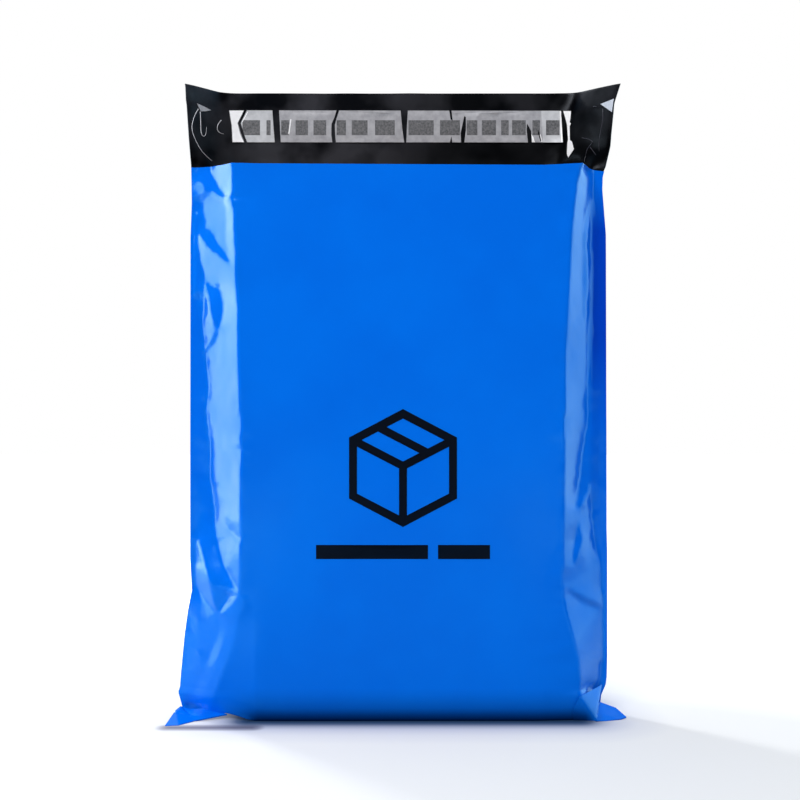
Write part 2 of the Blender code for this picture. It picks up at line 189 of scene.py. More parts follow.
# Painted shade, mixed into the film's colour, in metres: the dark colour, then how much of it there is
# across the bag and up it. It darkens the base where it turns under the carton, the right flank and the
# flap's right half, which face away from the light, and the flap's left end.
BASE_SHADE = (
    (0.0, 0.002, 0.02),
    ((-0.104, 0.0), (-0.084, 1.0), (0.109, 1.0), (0.12, 0.0)),
    ((0.0, 0.97), (0.0025, 0.85), (0.0072, 0.4), (0.018, 0.0)),
)
FLANK_SHADE = (
    (0.0, 0.05, 0.52),
    ((0.1135, 0.0), (0.1165, 1.0)),
    ((0.066, 0.1), (0.165, 0.35), (0.225, 1.0), (0.29, 1.0), (0.317, 0.0)),
)
FLAP_SHADE = (
    (0.0, 0.0, 0.0),
    ((-0.112, 0.4), (-0.084, 0.0), (-0.02, 0.0), (0.028, 0.85)),
    ((0.345, 1.0), (0.362, 0.6)),
)
# The fields' stops may lie this far on both sides of the origin.
SHADE_REACH = 0.5

# The films: darkest and lightest colour, roughness, tint and strength of the gloss, scale of the patches.
FILM_IOR = 1.45
# Between these values of the noise a patch goes from dark to light. The grain's scale and detail, and
# the bump's strength and distance.
FILM_PATCHES = (0.4, 0.62)
FILM_GRAIN, FILM_BUMP = (220.0, 2.0), (0.12, 0.0004)
BLUE_LOOK = ((0.0, 0.145, 0.79), (0.0, 0.16, 0.83), 0.15, (0.25, 0.85, 1.0), 0.5, 14.0)
BLACK_LOOK = ((0.001, 0.001, 0.002), (0.03, 0.03, 0.036), 0.28, (0.7, 0.75, 0.85), 0.22, 34.0)
INK_LOOK = ((0.001, 0.001, 0.002), (0.002, 0.002, 0.004), 0.3, (0.3, 0.4, 0.6), 0.5, 14.0)
# Plain materials: name, darkest and lightest colour, roughness, scale of the grain.
PLAIN_PATCHES, PLAIN_DETAIL = (0.35, 0.65), 5.0
PLAIN_BUMP = (0.2, 0.0003)
LINER_LOOKS = (
    ("liner_silver", (0.32, 0.32, 0.35), (0.42, 0.42, 0.45), 0.42, 300.0),
    ("liner_print", (0.07, 0.07, 0.078), (0.16, 0.16, 0.17), 0.5, 900.0),
    # A painted highlight.
    ("liner_painted_highlight", (0.93, 0.93, 0.95), (0.98, 0.98, 1.0), 0.4, 300.0),
    ("liner_pale", (0.5, 0.54, 0.62), (0.6, 0.64, 0.72), 0.4, 300.0),
    # A lit copy of the silver, painted where pieces catch more light.
    ("liner_lit_silver", (0.5, 0.51, 0.54), (0.6, 0.61, 0.64), 0.4, 300.0),
)
PUCKER_LOOKS = (
    # Light ridges, a painted highlight.
    ("adhesive_ridges_highlight", (0.6, 0.6, 0.65), (0.8, 0.8, 0.85), 0.2, 300.0),
    ("adhesive_dull", (0.04, 0.04, 0.055), (0.07, 0.07, 0.09), 0.3, 300.0),
)
CARD_LOOK = ("carton_card", (0.42, 0.27, 0.14), (0.52, 0.35, 0.19), 0.8, 60.0)

# Painted shadows on the floor: one round the bag's foot and a thin one under its lifted left edge, each
# round a box given by its middle and its half sides, and the painted shade by the distance from each.
FOOT_MIDDLE, FOOT_HALF = (0.009, -0.003, 0.0), (0.096, 0.019, 0.0)
FOOT_SHADE = ((0.0, (0.02, 0.05, 0.12)), (0.0067, (0.05, 0.1, 0.22)), (0.014, (0.44, 0.49, 0.65)),
              (0.021, (0.71, 0.74, 0.86)), (0.034, (0.9, 0.91, 0.96)), (0.055, (1.0, 1.0, 1.0)))
LIFT_MIDDLE, LIFT_HALF = (-0.108, -0.038, 0.0), (0.024, 0.001, 0.0)
LIFT_SHADE = ((0.0, (0.3, 0.3, 0.37)), (0.003, (0.42, 0.42, 0.5)), (0.008, (1.0, 1.0, 1.0)))
# The floor's own white, its glow by the distance from the cast shadow, and a painted bluish reflection:
# the colour that mirror rays meet on it instead of the white, by the distance aside from the middle.
FLOOR_HALF, FLOOR_SQUARES = 4.0, 8
FLOOR_WHITE = (0.5, 0.5, 0.495, 1.0)
SHADOW_MIDDLE = (0.03, -0.25, 0.0)
FLOOR_GLOW = ((0.3, (0.365, 0.36, 0.365)), (0.56, (1.0, 1.0, 1.0)))
FLOOR_SHEEN = ((0.14, (0.12, 0.3, 0.5)), (0.24, (0.6, 0.9, 1.0)))
# The surroundings: what mirror rays meet, the brighter the more they point back, and the soft light.
ROOM_SHEEN = ((0.0, (0.02, 0.02, 0.025)), (0.5, (0.4, 0.65, 0.95)))
ROOM_LIGHT = (0.36, 0.37, 0.4, 1.0)
# Lamps: name, place, target, size, power and colour.
LAMPS = (
    ("left_box", (-1.0, 0.5, 0.32), (0, 0, 0.25), (1.5, 0.8), 18.0, (0.8, 0.92, 1.0)),
    ("right_box", (1.0, 0.5, 0.32), (0, 0, 0.25), (1.5, 0.8), 6.5, (0.38, 0.8, 1.0)),
    ("key", (-0.4, -1.5, 1.7), (0, 0, 0.15), (1.2, 1.0), 33.0, (1, 1, 1)),
    ("back_key", (-0.95, 1.25, 1.5), (0.1, -0.1, 0.0), (0.22, 0.22), 20.0, (1, 1, 1)),
)

# The film's lower edge, as (x, z), lifted off the floor beside the left ear. It fades out up the wall.
LOWER_EDGE = ((-131.4, 1.0), (-115.0, 1.0), (-110.0, 2.0), (-101.0, 3.0), (-94.0, 2.0), (-84.0, 0.0),
              (100.7, 0.0), (110.9, 0.4), (132.7, 1.2))
LOWER_EDGE_TOP = 45.0
# How far the film's left and right edge lie beyond the CAD weld, by height.
LEFT_TRIM = ((0.0, 1.6), (10.0, 2.4), (14.0, 1.1), (25.0, 0.6), (60.0, 0.3), (325.0, 0.0), (345.0, 0.2),
             (368.0, 0.9), (376.0, 0.1))
RIGHT_TRIM = ((0.0, 0.2), (9.0, -0.8), (14.0, 0.1), (20.0, 0.7), (30.0, 0.8), (95.0, 0.8), (110.0, 0.5),
              (322.0, -0.1), (328.0, 1.2), (340.0, 1.3), (346.0, 0.5), (360.0, 0.3), (368.0, 0.0))
# The mouth's front edge waves a little, and the rows under it with it.
MOUTH_EDGE = ((-127.0, 327.4), (-112.0, 327.2), (-101.0, 325.9), (-83.0, 325.4), (84.0, 324.5),
              (112.0, 326.2), (124.0, 325.0))
MOUTH_WAVE = 25.0

# Slopes across a facet: those that mirror a lamp in full, in part and not at all.
LIGHT, SOFT, DARK = 1.45, 0.95, 0.35

# Facets of the creased sides: the slope across, the slope up the bag, and the outline in the photograph.
LEFT_FACETS = (
    (LIGHT, 0.0, ((219, 287), (236, 285), (238, 322), (238, 351), (239, 402), (243, 428), (238, 442),
                  (243, 450), (239, 479), (240, 494), (241, 540), (238, 592), (227, 569), (219, 545),
                  (216, 527), (214, 506), (210, 481), (209, 468), (210, 448), (206, 422), (204, 409),
                  (209, 391), (210, 380), (206, 369), (204, 351), (202, 325), (205, 300))),
    (LIGHT, 0.0, ((209, 171), (232, 165), (233, 192), (228, 199), (218, 184))),
    (DARK, 0.2, ((193, 170), (208, 171), (218, 184), (227, 199), (216, 197), (208, 190), (202, 177),
                 (193, 175))),
    (SOFT, 0.1, ((191, 176), (202, 178), (208, 190), (203, 198), (192, 198))),
    (LIGHT, 0.0, ((228, 198), (233, 199), (234, 236), (236, 259), (235, 285), (230, 270), (225, 240))),
    (SOFT, 0.0, ((206, 196), (216, 199), (226, 204), (225, 240), (229, 257), (212, 236), (205, 218))),
    (DARK, 0.0, ((197, 202), (200, 228), (212, 238), (224, 251), (232, 266), (222, 258), (208, 247),
                 (199, 238))),
    (LIGHT, 0.0, ((198, 232), (208, 247), (222, 259), (232, 268), (235, 285), (219, 287), (206, 277),
                  (200, 262))),
    (DARK, 0.0, ((206, 283), (219, 288), (221.5, 300), (221.5, 316), (218, 328), (214.5, 326), (212, 315),
                 (209.5, 303))),
    (DARK, 0.0, ((215, 331), (218.5, 332), (214.5, 342), (208, 351), (204, 352), (210, 344))),
    (SOFT, 0.0, ((192.5, 214), (195.5, 214), (195.5, 296), (192.5, 296))),
    (SOFT, 0.1, ((215, 524), (228, 526), (240, 542), (231, 538), (219, 541))),
    (DARK, 0.0, ((203, 552), (218, 548), (227, 569), (238, 592), (214, 584), (209, 575))),
    (DARK, 0.0, ((182, 530), (194, 536), (194, 590), (182, 602))),
    (1.7, 0.0, ((196, 536), (204, 553), (211, 577), (214, 583), (218, 616), (195, 584))),
    (DARK, 0.1, ((215, 586), (231, 595), (218, 614))),
    (0.77, 0.0, ((194, 586), (214, 607), (219, 614), (218, 626), (215, 639), (200, 677), (190, 703),
                 (176, 703), (180, 640))),
    (0.92, 0.0, ((240, 594), (219, 614), (218, 626), (215, 639), (200, 677), (190, 703), (188, 720),
                 (197, 720), (199, 704), (209, 679), (224, 641), (227, 627), (228, 616), (243, 600))),
    (0.76, 0.0, ((243, 600), (228, 616), (227, 627), (224, 641), (209, 679), (199, 704), (197, 720),
                (208, 720), (210, 705), (219, 681), (233, 644), (236, 629), (238, 618), (245, 604))),
    (DARK, 0.0, ((240, 594), (245, 604), (238, 618), (236, 629), (233, 644), (219, 681), (210, 705),
                 (208, 720), (258, 720), (258, 596))),
    (SOFT, -0.1, ((191, 618), (199, 618), (199, 631), (193, 629))),
    (SOFT, 0.1, ((188, 645), (199, 650), (200, 671), (189, 668))),
    (SOFT, 0.2, ((214, 583), (238, 592), (240, 597), (215, 588))),
)
RIGHT_FACETS = (
    (LIGHT, 0.0, ((582, 168), (578, 186), (573, 232), (569, 289), (568, 319), (566, 341), (564, 422),
                  (565, 509), (562, 583), (566, 612), (575, 641), (580, 664), (581, 690), (601, 681),
                  (604, 640), (603, 600), (601, 560), (597, 530), (590, 492), (589, 440), (587, 402),
                  (588, 392), (584, 371), (582, 346), (584, 319), (586, 278), (585, 243), (589, 215),
                  (593, 189), (592, 168))),
    (SOFT, 0.0, ((590, 168), (593, 168), (594, 189), (590, 215), (586, 243), (587, 278), (585, 319),
                 (582, 319), (583, 278), (582, 243), (586, 215), (590, 189))),
    (SOFT, 0.0, ((589, 250), (593, 252), (593, 387), (590, 385))),
    (DARK, 0.0, ((587, 426), (582, 459), (576, 508), (579, 508), (588, 492), (592, 470), (589, 440))),
    (DARK, 0.0, ((592, 508), (596, 525), (602, 557), (598, 555), (594, 535))),
    (DARK, 0.0, ((578, 520), (581, 540), (573, 565), (574, 545))),
    (DARK, -0.2, ((566, 589), (583, 594), (601, 604), (600, 608), (580, 601))),
    (DARK, 0.3, ((581, 691), (587, 683), (593, 679), (602, 680), (591, 688))),
)

# Each ear is a folded point of film: places (u, v, depth) in the photograph, and the facets between them.
LEFT_EAR = (
    ((181.2, 706.6, 2.0), (173.8, 712.6, 21.0), (164.8, 726.4, 38.5), (178.4, 726.4, 37.0),
     (194.4, 720.7, 27.0), (190.4, 716.4, 23.0), (190.5, 709.0, 9.0), (205.0, 708.5, 11.5),
     (227.0, 714.0, 19.5)),
    ((0, 1, 5), (0, 5, 6), (1, 2, 3), (1, 3, 5), (5, 3, 4), (6, 5, 7), (7, 5, 8), (5, 4, 8)),
)
RIGHT_EAR = (
    ((579.6, 696.7, 27.0), (602.0, 684.6, 5.0), (596.0, 720.8, 27.5), (598.8, 701.5, 11.0),
     (615.8, 707.6, 13.0), (626.4, 716.8, 21.0), (604.3, 713.9, 21.0), (615.0, 709.9, 15.0),
     (620.4, 719.0, 23.0), (606.6, 720.9, 26.0), (573.0, 722.0, 24.5), (573.0, 709.0, 26.0)),
    ((0, 2, 1), (1, 2, 3), (3, 2, 6), (3, 6, 7), (3, 7, 4), (2, 9, 6), (6, 9, 8), (6, 8, 7), (7, 8, 5),
     (4, 7, 5), (0, 11, 2), (11, 10, 2)),
)

# The release liner is creased and has split: its rim, the splits and the printed squares.
LINER_RIM = ((229, 110.3), (560.6, 110.8), (563, 142.4), (232.4, 142.2), (231.5, 125.5))
LINER_SPLITS = (
    ((244.8, 109), (247.6, 109), (240.8, 123), (244, 134), (247.4, 143), (244.6, 143), (241, 134),
     (237.8, 123)),
    ((272.2, 109), (279, 109), (280.8, 143), (274.7, 143)),
    ((336.8, 109), (339.8, 109), (337, 117), (334.8, 125), (335.2, 135), (336, 143), (332.4, 143),
     (331.3, 135), (331.5, 124), (334.5, 117)),
    ((400.4, 109), (408, 109), (407, 125), (406.3, 143), (404.3, 143), (402.4, 130)),
    ((449, 109), (451.3, 109), (452.7, 120.5), (450.6, 119.5)),
    ((451.4, 136), (452.4, 143), (449.7, 143)),
    ((464.3, 116), (465.9, 117), (465.9, 130), (464.3, 143), (461.1, 143), (460.6, 133), (463, 122)),
    ((527.2, 123.5), (531.2, 131), (532, 143), (528, 143), (526.6, 130)),
    ((538.4, 129.5), (541.5, 141), (540.3, 141), (537.9, 133)),
)
SQUARES_TOP, SQUARES_BOTTOM = 120.2, 135.2
SQUARES = ((242.5, 260), (266.5, 270.6), (281.2, 289), (295.6, 307.9), (313.5, 326.2), (336.6, 346),
           (351.7, 367.6), (375, 394.8), (408.4, 433.7), (440, 460), (466.8, 477.4), (481.8, 496),
           (501.2, 508.7), (512, 525.8), (532.4, 540), (546, 559.6))
# The torn bits beyond its ends, whose right one is white, a painted highlight; painted highlights on
# slivers at the creases, on the adhesive and on the liner's left end; and the paler parts, a lit copy of
# the silver painted where those pieces catch more light.
TORN_END_HIGHLIGHT = ((563.3, 111), (571, 111), (570.4, 118), (569.6, 122), (570.8, 123.5), (569.6, 126),
            (569.8, 140), (571.8, 141.5), (573.8, 149), (568.3, 157.5), (566.8, 154), (567.4, 142),
            (568, 140), (567, 125), (565, 117))
TORN_CORNER = ((600.4, 104), (607, 101.4), (613.7, 98.7), (612.6, 106), (611.9, 112), (606, 108))
PAINTED_GLINTS = (
    ((290.4, 119), (291.4, 119.4), (290.4, 127), (289.2, 134.4), (288.2, 133.6), (289.4, 126)),
    ((530.4, 133), (533.4, 137), (535, 142.2), (531.2, 142.2)),
    ((540.6, 134), (542.4, 141.8), (541.2, 141.8), (539.4, 136)),
    ((559.6, 111), (561, 111), (562.8, 142), (561.2, 142)),
    ((247.2, 112), (248.2, 112), (242.6, 122), (241.8, 122)),
)
PAINTED_ADHESIVE_HIGHLIGHT = ((197, 103.3), (204, 106.4), (211.3, 110.2), (206, 111.2), (201, 111.3))
PAINTED_HIGHLIGHT_END = ((229.5, 110.6), (243.6, 110.6), (237.4, 123), (240, 134), (243.6, 142), (232.8, 142),
              (231.9, 125.5))
PALE_LIT_PARTS = (
    ((245, 109), (274, 109), (276, 143), (245, 143), (238, 123)),
    ((541, 109), (562, 109), (564, 143), (543, 143)),
)
# Places between the outlines let a cut sheet follow the film: a box of pixels and the step in it.
LINER_PLACES = (232, 560, 113, 141, 5)
PRINT_PLACES = (319, 490, 411, 560, 6)

# The print is a plain carton, as its rim and the blue faces left open in it, over two plain bars, each
# as its left, right, top and bottom.
CARTON_RIM = ((403, 409), (457, 437.5), (457, 498.5), (403, 527), (349, 498.5), (349, 437.5))
CARTON_FACES = (
    ((357, 446.6), (399, 468.4), (399, 515.4), (357, 493.6)),
    ((449, 446.6), (407, 468.4), (407, 515.4), (449, 493.6)),
    ((361.6, 440), (378, 431.5), (419.4, 453), (403, 461.5)),
    ((386.6, 427), (403, 418.5), (444.4, 440), (428, 448.5)),
)
PLAIN_BARS = ((316, 428, 545, 559), (438, 490, 545, 559))

# Puckers in the clear adhesive beyond the liner's ends. The first of them, this many, are dull; the rest
# are light, a painted highlight along their ridges.
DULL_PUCKERS = 4
PUCKERS = (
    ((582, 137.8), (588, 138.6), (593.5, 141.8), (589, 146), (585.5, 152.7), (584.3, 161.9)),
    ((590, 147), (593, 151), (595.8, 155)),
    ((602.7, 109), (603.3, 116), (602, 124), (600.4, 132), (598.7, 143.5), (599.2, 151)),
    ((593, 106.6), (594.4, 106.2), (596.6, 106.6)),
    ((198.3, 109), (194.5, 115), (191.8, 125), (192.2, 131.6), (195, 139), (199, 147), (204, 154),
     (212, 161)),
    ((200.2, 111.7), (200.7, 120.3), (200.7, 129), (201.6, 135), (204, 136.7), (206.2, 134), (206.6, 127)),
    ((221.2, 120.3), (217.8, 123.8), (216.9, 129), (219.5, 133.3), (223.8, 134)),
)


def clear_scene():
    for item in list(bpy.data.objects):
        bpy.data.objects.remove(item, do_unlink=True)


def add_object(name, data):
    made = bpy.data.objects.new(name, data)
    bpy.context.scene.collection.objects.link(made)
    return made


def seen(x, depth, z):
    """The pixel at which the camera sees a place. Depth is towards the camera."""
    scale = FOCAL_PIXELS / (CAMERA_DISTANCE - depth)
    return FRAME_MIDDLE + (x - origin_x) * scale, FRAME_MIDDLE - (z - CAMERA_HEIGHT) * scale


def placed(u, v, depth):
    """The place at that depth which the camera sees at a pixel."""
    scale = FOCAL_PIXELS / (CAMERA_DISTANCE - depth)
    height = max((FRAME_MIDDLE - v) / scale + CAMERA_HEIGHT, FLOOR_GAP)
    return Vector(((u - FRAME_MIDDLE) / scale + origin_x, weld_y - depth, height))


def inside(outline, u, v):
    """Which of the pixels lie inside the outline."""
    hit = np.zeros(np.shape(u), bool)
    for (u0, v0), (u1, v1) in zip(outline, outline[1:] + outline[:1]):
        if v0 == v1:
            continue
        crossing = (v0 > v) != (v1 > v)
        hit ^= crossing & (u < u0 + (v - v0) * (u1 - u0) / (v1 - v0))
    return hit


def inside_any(outlines, u, v):
    return np.any([inside(outline, u, v) for outline in outlines], axis=0)


def along(path, x):
    return np.interp(x, [place[0] for place in path], [place[1] for place in path])


def rising(value, start, full):
    """0 at the start, 1 at the full value, even between them and level beyond. It may also fall."""
    return np.clip((value - start) / (full - start), 0, 1)


def eased(share):
    return share * share * (3 - 2 * share)


def value_noise(a, b, seed):
    """Smooth noise between -1 and 1 with a lump about every unit."""
    def lattice(i, j):
        """A value between -1 and 1 for each pair of whole numbers, always the same one."""
        value = np.sin(i * 127.1 + j * 311.7 + seed * 74.7) * 43758.5453
        return 2 * (value - np.floor(value)) - 1
    i, j = np.floor(a), np.floor(b)
    fa, fb = eased(a - i), eased(b - j)
    low = lattice(i, j) * (1 - fa) + lattice(i + 1, j) * fa
    high = lattice(i, j + 1) * (1 - fa) + lattice(i + 1, j + 1) * fa
    return low * (1 - fb) + high * fb


class CadBag:
    """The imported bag, probed by rays for its outline and its depth."""

    def __init__(self, node):
        self.tree = BVHTree.FromObject(node, bpy.context.evaluated_depsgraph_get())

    def edge_x(self, sign, z):
        """The weld's outer edge at a height."""
        start = Vector((sign * EDGE_PROBE, weld_y + WELD_BEHIND, z)) * MM
        hit = self.tree.ray_cast(start, Vector((-sign, 0, 0)))[0]
        return hit.x / MM

    def depth(self, way, x, z):
        """Depth of the outer face in front (way -1) or behind (way 1) at a place."""
        start = Vector((x, weld_y + way * FACE_PROBE, z)) * MM
        hit = self.tree.ray_cast(start, Vector((0, -way, 0)))[0]
        return way * (hit.y / MM - weld_y) if hit else MISSED_DEPTH


def columns(left, right):
    """X of the grid's columns at a height: close together beside the carton, wide on the panel."""
    inner = origin_x + PANEL_HALF
    first = np.linspace(left, origin_x - PANEL_HALF, SIDE_COLUMNS + 1)
    middle = np.linspace(origin_x - PANEL_HALF, inner, PANEL_COLUMNS + 1)[1:-1]
    last = np.linspace(inner, right, SIDE_COLUMNS + 1)
    return np.concatenate([first, middle, last])


def wall_grid(cad, way, heights):
    """X, depth and Z of the film on the front or the back, one row for each height above the base."""
    shape = (len(heights), 2 * SIDE_COLUMNS + PANEL_COLUMNS + 1)
    x, depth, z = np.zeros(shape), np.zeros(shape), np.zeros(shape)
    foot = [cad.edge_x(sign, ABOVE_EARS) - sign * FOOT_INSET for sign in (-1, 1)]
    highest = MOUTH_Z - MOUTH_MARGIN if way < 0 else FLAP_TOP
    for row, height in enumerate(heights):
        probe = min(max(height, ABOVE_EARS), FLAP_TOP - TOP_MARGIN)
        edges = [cad.edge_x(sign, probe) for sign in (-1, 1)]
        if height < ABOVE_EARS:
            share = height / ABOVE_EARS
            edges = [share * edge + (1 - share) * end for edge, end in zip(edges, foot)]
        x[row] = columns(edges[0] - along(LEFT_TRIM, height), edges[1] + along(RIGHT_TRIM, height))
        z[row] = height + along(LOWER_EDGE, x[row]) * rising(height, LOWER_EDGE_TOP, 0.0) + FILM_GAP
        for column, (px, pz) in enumerate(zip(x[row], z[row])):
            depth[row, column] = cad.depth(way, px, min(max(pz, LOWEST_PROBE), highest))
    return x, np.maximum(depth - CAD_FILM_EXTRA, LEAST_DEPTH), z


def tucked(depth, heights):
    """The depth with its lowest rows drawn in on an ellipse, where the film turns under the carton."""
    turned = 1 - np.sqrt(1 - rising(np.array(heights), BASE_RISE, 0.0) ** 2)
    return depth * (1 - BASE_INSET / FULL_DEPTH * turned[:, None])


def relaid(x, depth, z, facets):
    """The depth of one side strip, relaid so that it has each facet's slope there.

    Column 0 is the weld and the last one is on the panel. Both stay. The squares of the slopes' errors
    are made least by conjugate gradients."""
    step = np.abs(np.diff(x, axis=1))
    rise = np.abs(np.diff(z, axis=0))
    across = np.diff(depth, axis=1) / step
    upward = np.diff(depth, axis=0) / rise
    u, v = seen(x, depth, z)
    mid_u, mid_v = (u[:, 1:] + u[:, :-1]) / 2, (v[:, 1:] + v[:, :-1]) / 2
    low_u, low_v = (u[1:] + u[:-1]) / 2, (v[1:] + v[:-1]) / 2
    firm = np.where(np.abs(across) < FLAT_SLOPE, FLAT_FIRMNESS, 1.0)
    column = np.arange(across.shape[1])
    beside_weld = (column >= FLANK_COLUMNS[0]) & (column < FLANK_COLUMNS[1])
    flank = (np.abs(across) < FLANK_SLOPE) & beside_weld & (mid_v > FLANK_TOP)
    across[flank] = FLANK_SLOPE
    firm[flank] = 1.0
    for slope, lean, outline in facets:
        chosen = inside(outline, mid_u, mid_v)
        across[chosen] = slope
        firm[chosen] = 1.0
        upward[inside(outline, low_u, low_v)] = lean
    held = np.zeros(depth.shape, bool)
    held[:, 0] = held[:, -1] = True

    def gathered(dx, dz):
        """The transpose of taking differences, weighted, with nothing for the places that stay."""
        out = np.zeros_like(depth)
        out[:, 1:] += firm * dx
        out[:, :-1] -= firm * dx
        out[1:] += UPWARD_PULL * dz
        out[:-1] -= UPWARD_PULL * dz
        return np.where(held, 0.0, out)

    change = np.zeros_like(depth)
    rest = gathered(across * step - np.diff(depth, axis=1), upward * rise - np.diff(depth, axis=0))
    heading = rest.copy()
    energy = (rest * rest).sum()
    for _ in range(MOST_ROUNDS):
        image = gathered(np.diff(heading, axis=1), np.diff(heading, axis=0))
        stride = energy / max((heading * image).sum(), TINY)
        change += stride * heading
        rest -= stride * image
        fresh = (rest * rest).sum()
        if fresh < SETTLED:
            break
        heading = rest + fresh / energy * heading
        energy = fresh
    return np.clip(depth + change, LEAST_DEPTH, MOST_DEPTH)


def relay_sides(x, depth, z, left_facets, right_facets):
    """Relays both side strips of a wall in place. X is counted as the camera would see that wall."""
    for facets, strip in ((left_facets, LEFT_STRIP), (right_facets, RIGHT_STRIP)):
        depth[strip] = relaid(x[strip], depth[strip], z[strip], facets)


def softened(depth, passes):
    """Each inner place moved halfway to the mean of its four neighbours, in so many passes."""
    for _ in range(passes):
        inner = depth[1:-1, 1:-1]
        around = depth[:-2, 1:-1] + depth[2:, 1:-1] + depth[1:-1, :-2] + depth[1:-1, 2:]
        depth[1:-1, 1:-1] = inner + 0.5 * (around / 4 - inner)
    return depth


def lumps(x, z, kind, seed):
    height, width, tallness = kind
    return height * value_noise(x / width, z / tallness, seed)


def crumples(x, z, seed):
    """Small relief: a little on the panels, more beside the carton, and none at the welds."""
    out = np.abs(x - origin_x)
    beside = rising(out, *BESIDE_CARTON) * rising(out, *SHORT_OF_WELD)
    calm = np.maximum(rising(z, *CALM_FOOT), CALM_LEAST)
    fine = lumps(x, z, COARSE_LUMPS, seed) + lumps(x, z, FINE_LUMPS, seed + 1)
    panel = rising(out, *ON_PANEL) * lumps(x, z, WIDE_LUMPS, seed + 2)
    on_flap = rising(z, *ABOVE_MOUTH) * rising(out, *ON_FLAP)
    leaning = x + z * FLAP_LUMPS[1] / FLAP_LEAN
    return fine * beside * calm + panel + on_flap * lumps(leaning, z, FLAP_LUMPS, seed + 3)


def flap_swept(x, depth, z):
    """The flap's ends sweep forward from the back panel to the welds, sooner towards the top."""
    risen = rising(z, MOUTH_Z, FLAP_TOP)
    left, right = [FLAP_SWEEP - narrowing * risen for narrowing in FLAP_NARROWING]
    reach = np.minimum((x - x[:, :1]) / left, (x[:, -1:] - x) / right)
    rest = 1 - FLAP_BEND
    bent = FULL_DEPTH * np.where(reach < FLAP_BEND, reach, 1 - rest * np.exp(-(reach - FLAP_BEND) / rest))
    share = eased(rising(z, *FLAP_START))
    return np.maximum(depth * (1 - share) + bent * share, LEAST_DEPTH)


def film_sheet(cad):
    """The film's grid as an array of points: front rows down, base rows, then back rows up."""
    quarter = np.arange(ROUNDING_ROWS) * math.pi / (2 * ROUNDING_ROWS)
    rounding = list(BASE_RISE * (1 - np.cos(quarter)))
    heights = list(np.arange(MOUTH_Z, FRONT_LOWEST, -ROW_STEP)) + rounding[::-1]
    x, depth, z = wall_grid(cad, -1, heights)
    z += (along(MOUTH_EDGE, x) - MOUTH_Z) * rising(z, MOUTH_Z - MOUTH_WAVE, MOUTH_Z)
    relay_sides(x, depth, z, LEFT_FACETS, RIGHT_FACETS)
    depth = tucked(softened(depth, 1) + crumples(x, z, FRONT_SEED), heights)
    front = np.stack([x, weld_y - depth, z], axis=-1)

    low = list(np.arange(BACK_LOWEST, BACK_FLAP_Z, BACK_ROW_STEP))
    flap = list(np.arange(BACK_FLAP_Z, FLAP_TOP, ROW_STEP)) + [FLAP_TOP]
    heights = rounding + low + flap
    x, depth, z = wall_grid(cad, 1, heights)
    z = np.minimum(z, FLAP_TOP)
    relay_sides(2 * origin_x - x, depth, z, RIGHT_FACETS, LEFT_FACETS)
    depth = tucked(softened(flap_swept(x, depth, z), 2) + crumples(x, z, BACK_SEED), heights)
    back = np.stack([x, weld_y + depth, z], axis=-1)
    steps = np.linspace(0, 1, BASE_STRIPS + 1)[1:-1]
    base = np.stack([front[-1] + (back[0] - front[-1]) * step for step in steps])
    return np.concatenate([front, base, back])


def shade_smooth(data):
    data.polygons.foreach_set("use_smooth", [True] * len(data.polygons))


def mesh_of_grid(name, points):
    rows, count = points.shape[:2]
    places = (points.reshape(-1, 3) * MM).tolist()
    faces = []
    for row in range(rows - 1):
        for column in range(count - 1):
            start = row * count + column
            faces.append((start, start + count, start + count + 1, start + 1))
    data = bpy.data.meshes.new(name)
    data.from_pydata(places, [], faces)
    shade_smooth(data)
    data.update()
    return data


def face_camera(mesh):
    for face in mesh.faces:
        face.normal_update()
        if face.normal.y > 0:
            face.normal_flip()


def ear_mesh(places, facets):
    """One ear's outer film, with its facets cut fine and their creases rounded a little."""
    mesh = bmesh.new()
    corners = [mesh.verts.new(placed(*place) * MM) for place in places]
    for facet in facets:
        mesh.faces.new([corners[index] for index in facet])
    face_camera(mesh)
    bmesh.ops.subdivide_edges(mesh, edges=mesh.edges, cuts=EAR_CUTS, use_grid_fill=True)
    rim = {corner for edge in mesh.edges if edge.is_boundary for corner in edge.verts}
    inner = [corner for corner in mesh.verts if corner not in rim]
    axes = {"use_axis_" + axis: True for axis in "xyz"}
    for _ in range(EAR_SMOOTHINGS):
        bmesh.ops.smooth_vert(mesh, verts=inner, factor=0.5, **axes)
    data = bpy.data.meshes.new("ear")
    mesh.to_mesh(data)
    mesh.free()
    shade_smooth(data)
    return data


def joined(meshes):
    """Several meshes in one bmesh, with their material places kept."""
    whole = bmesh.new()
    for mesh in meshes:
        whole.from_mesh(mesh)
    return whole


def united(name, meshes):
    whole = joined(meshes)
    data = bpy.data.meshes.new(name)
    whole.to_mesh(data)
    whole.free()
    return data


def tree_of(meshes):
    """The faces of several meshes, to aim rays at."""
    whole = joined(meshes)
    tree = BVHTree.FromBMesh(whole)
    whole.free()
    return tree


def drop_materials(data):
    """Empties a mesh's list of materials, and keeps each face's place in it."""
    kinds = [face.material_index for face in data.polygons]
    data.materials.clear()
    data.polygons.foreach_set("material_index", kinds)


def thickened(name, data, thickness, lining):
    """The sheet with a second face that far behind it, whose material is LINING places further on."""
    sheet = add_object(name, data)
    solid = sheet.modifiers.new("thickness", "SOLIDIFY")
    solid.thickness = thickness * MM
    solid.offset = -1.0
    solid.material_offset = lining
    solid.material_offset_rim = lining
    for _ in range(MATERIAL_PLACES):
        data.materials.append(None)
    bpy.context.view_layer.update()
    made = bpy.data.meshes.new_from_object(sheet.evaluated_get(bpy.context.evaluated_depsgraph_get()))
    bpy.data.objects.remove(sheet)
    drop_materials(made)
    made.set_sharp_from_angle(angle=SHARP_ANGLE)
    return made


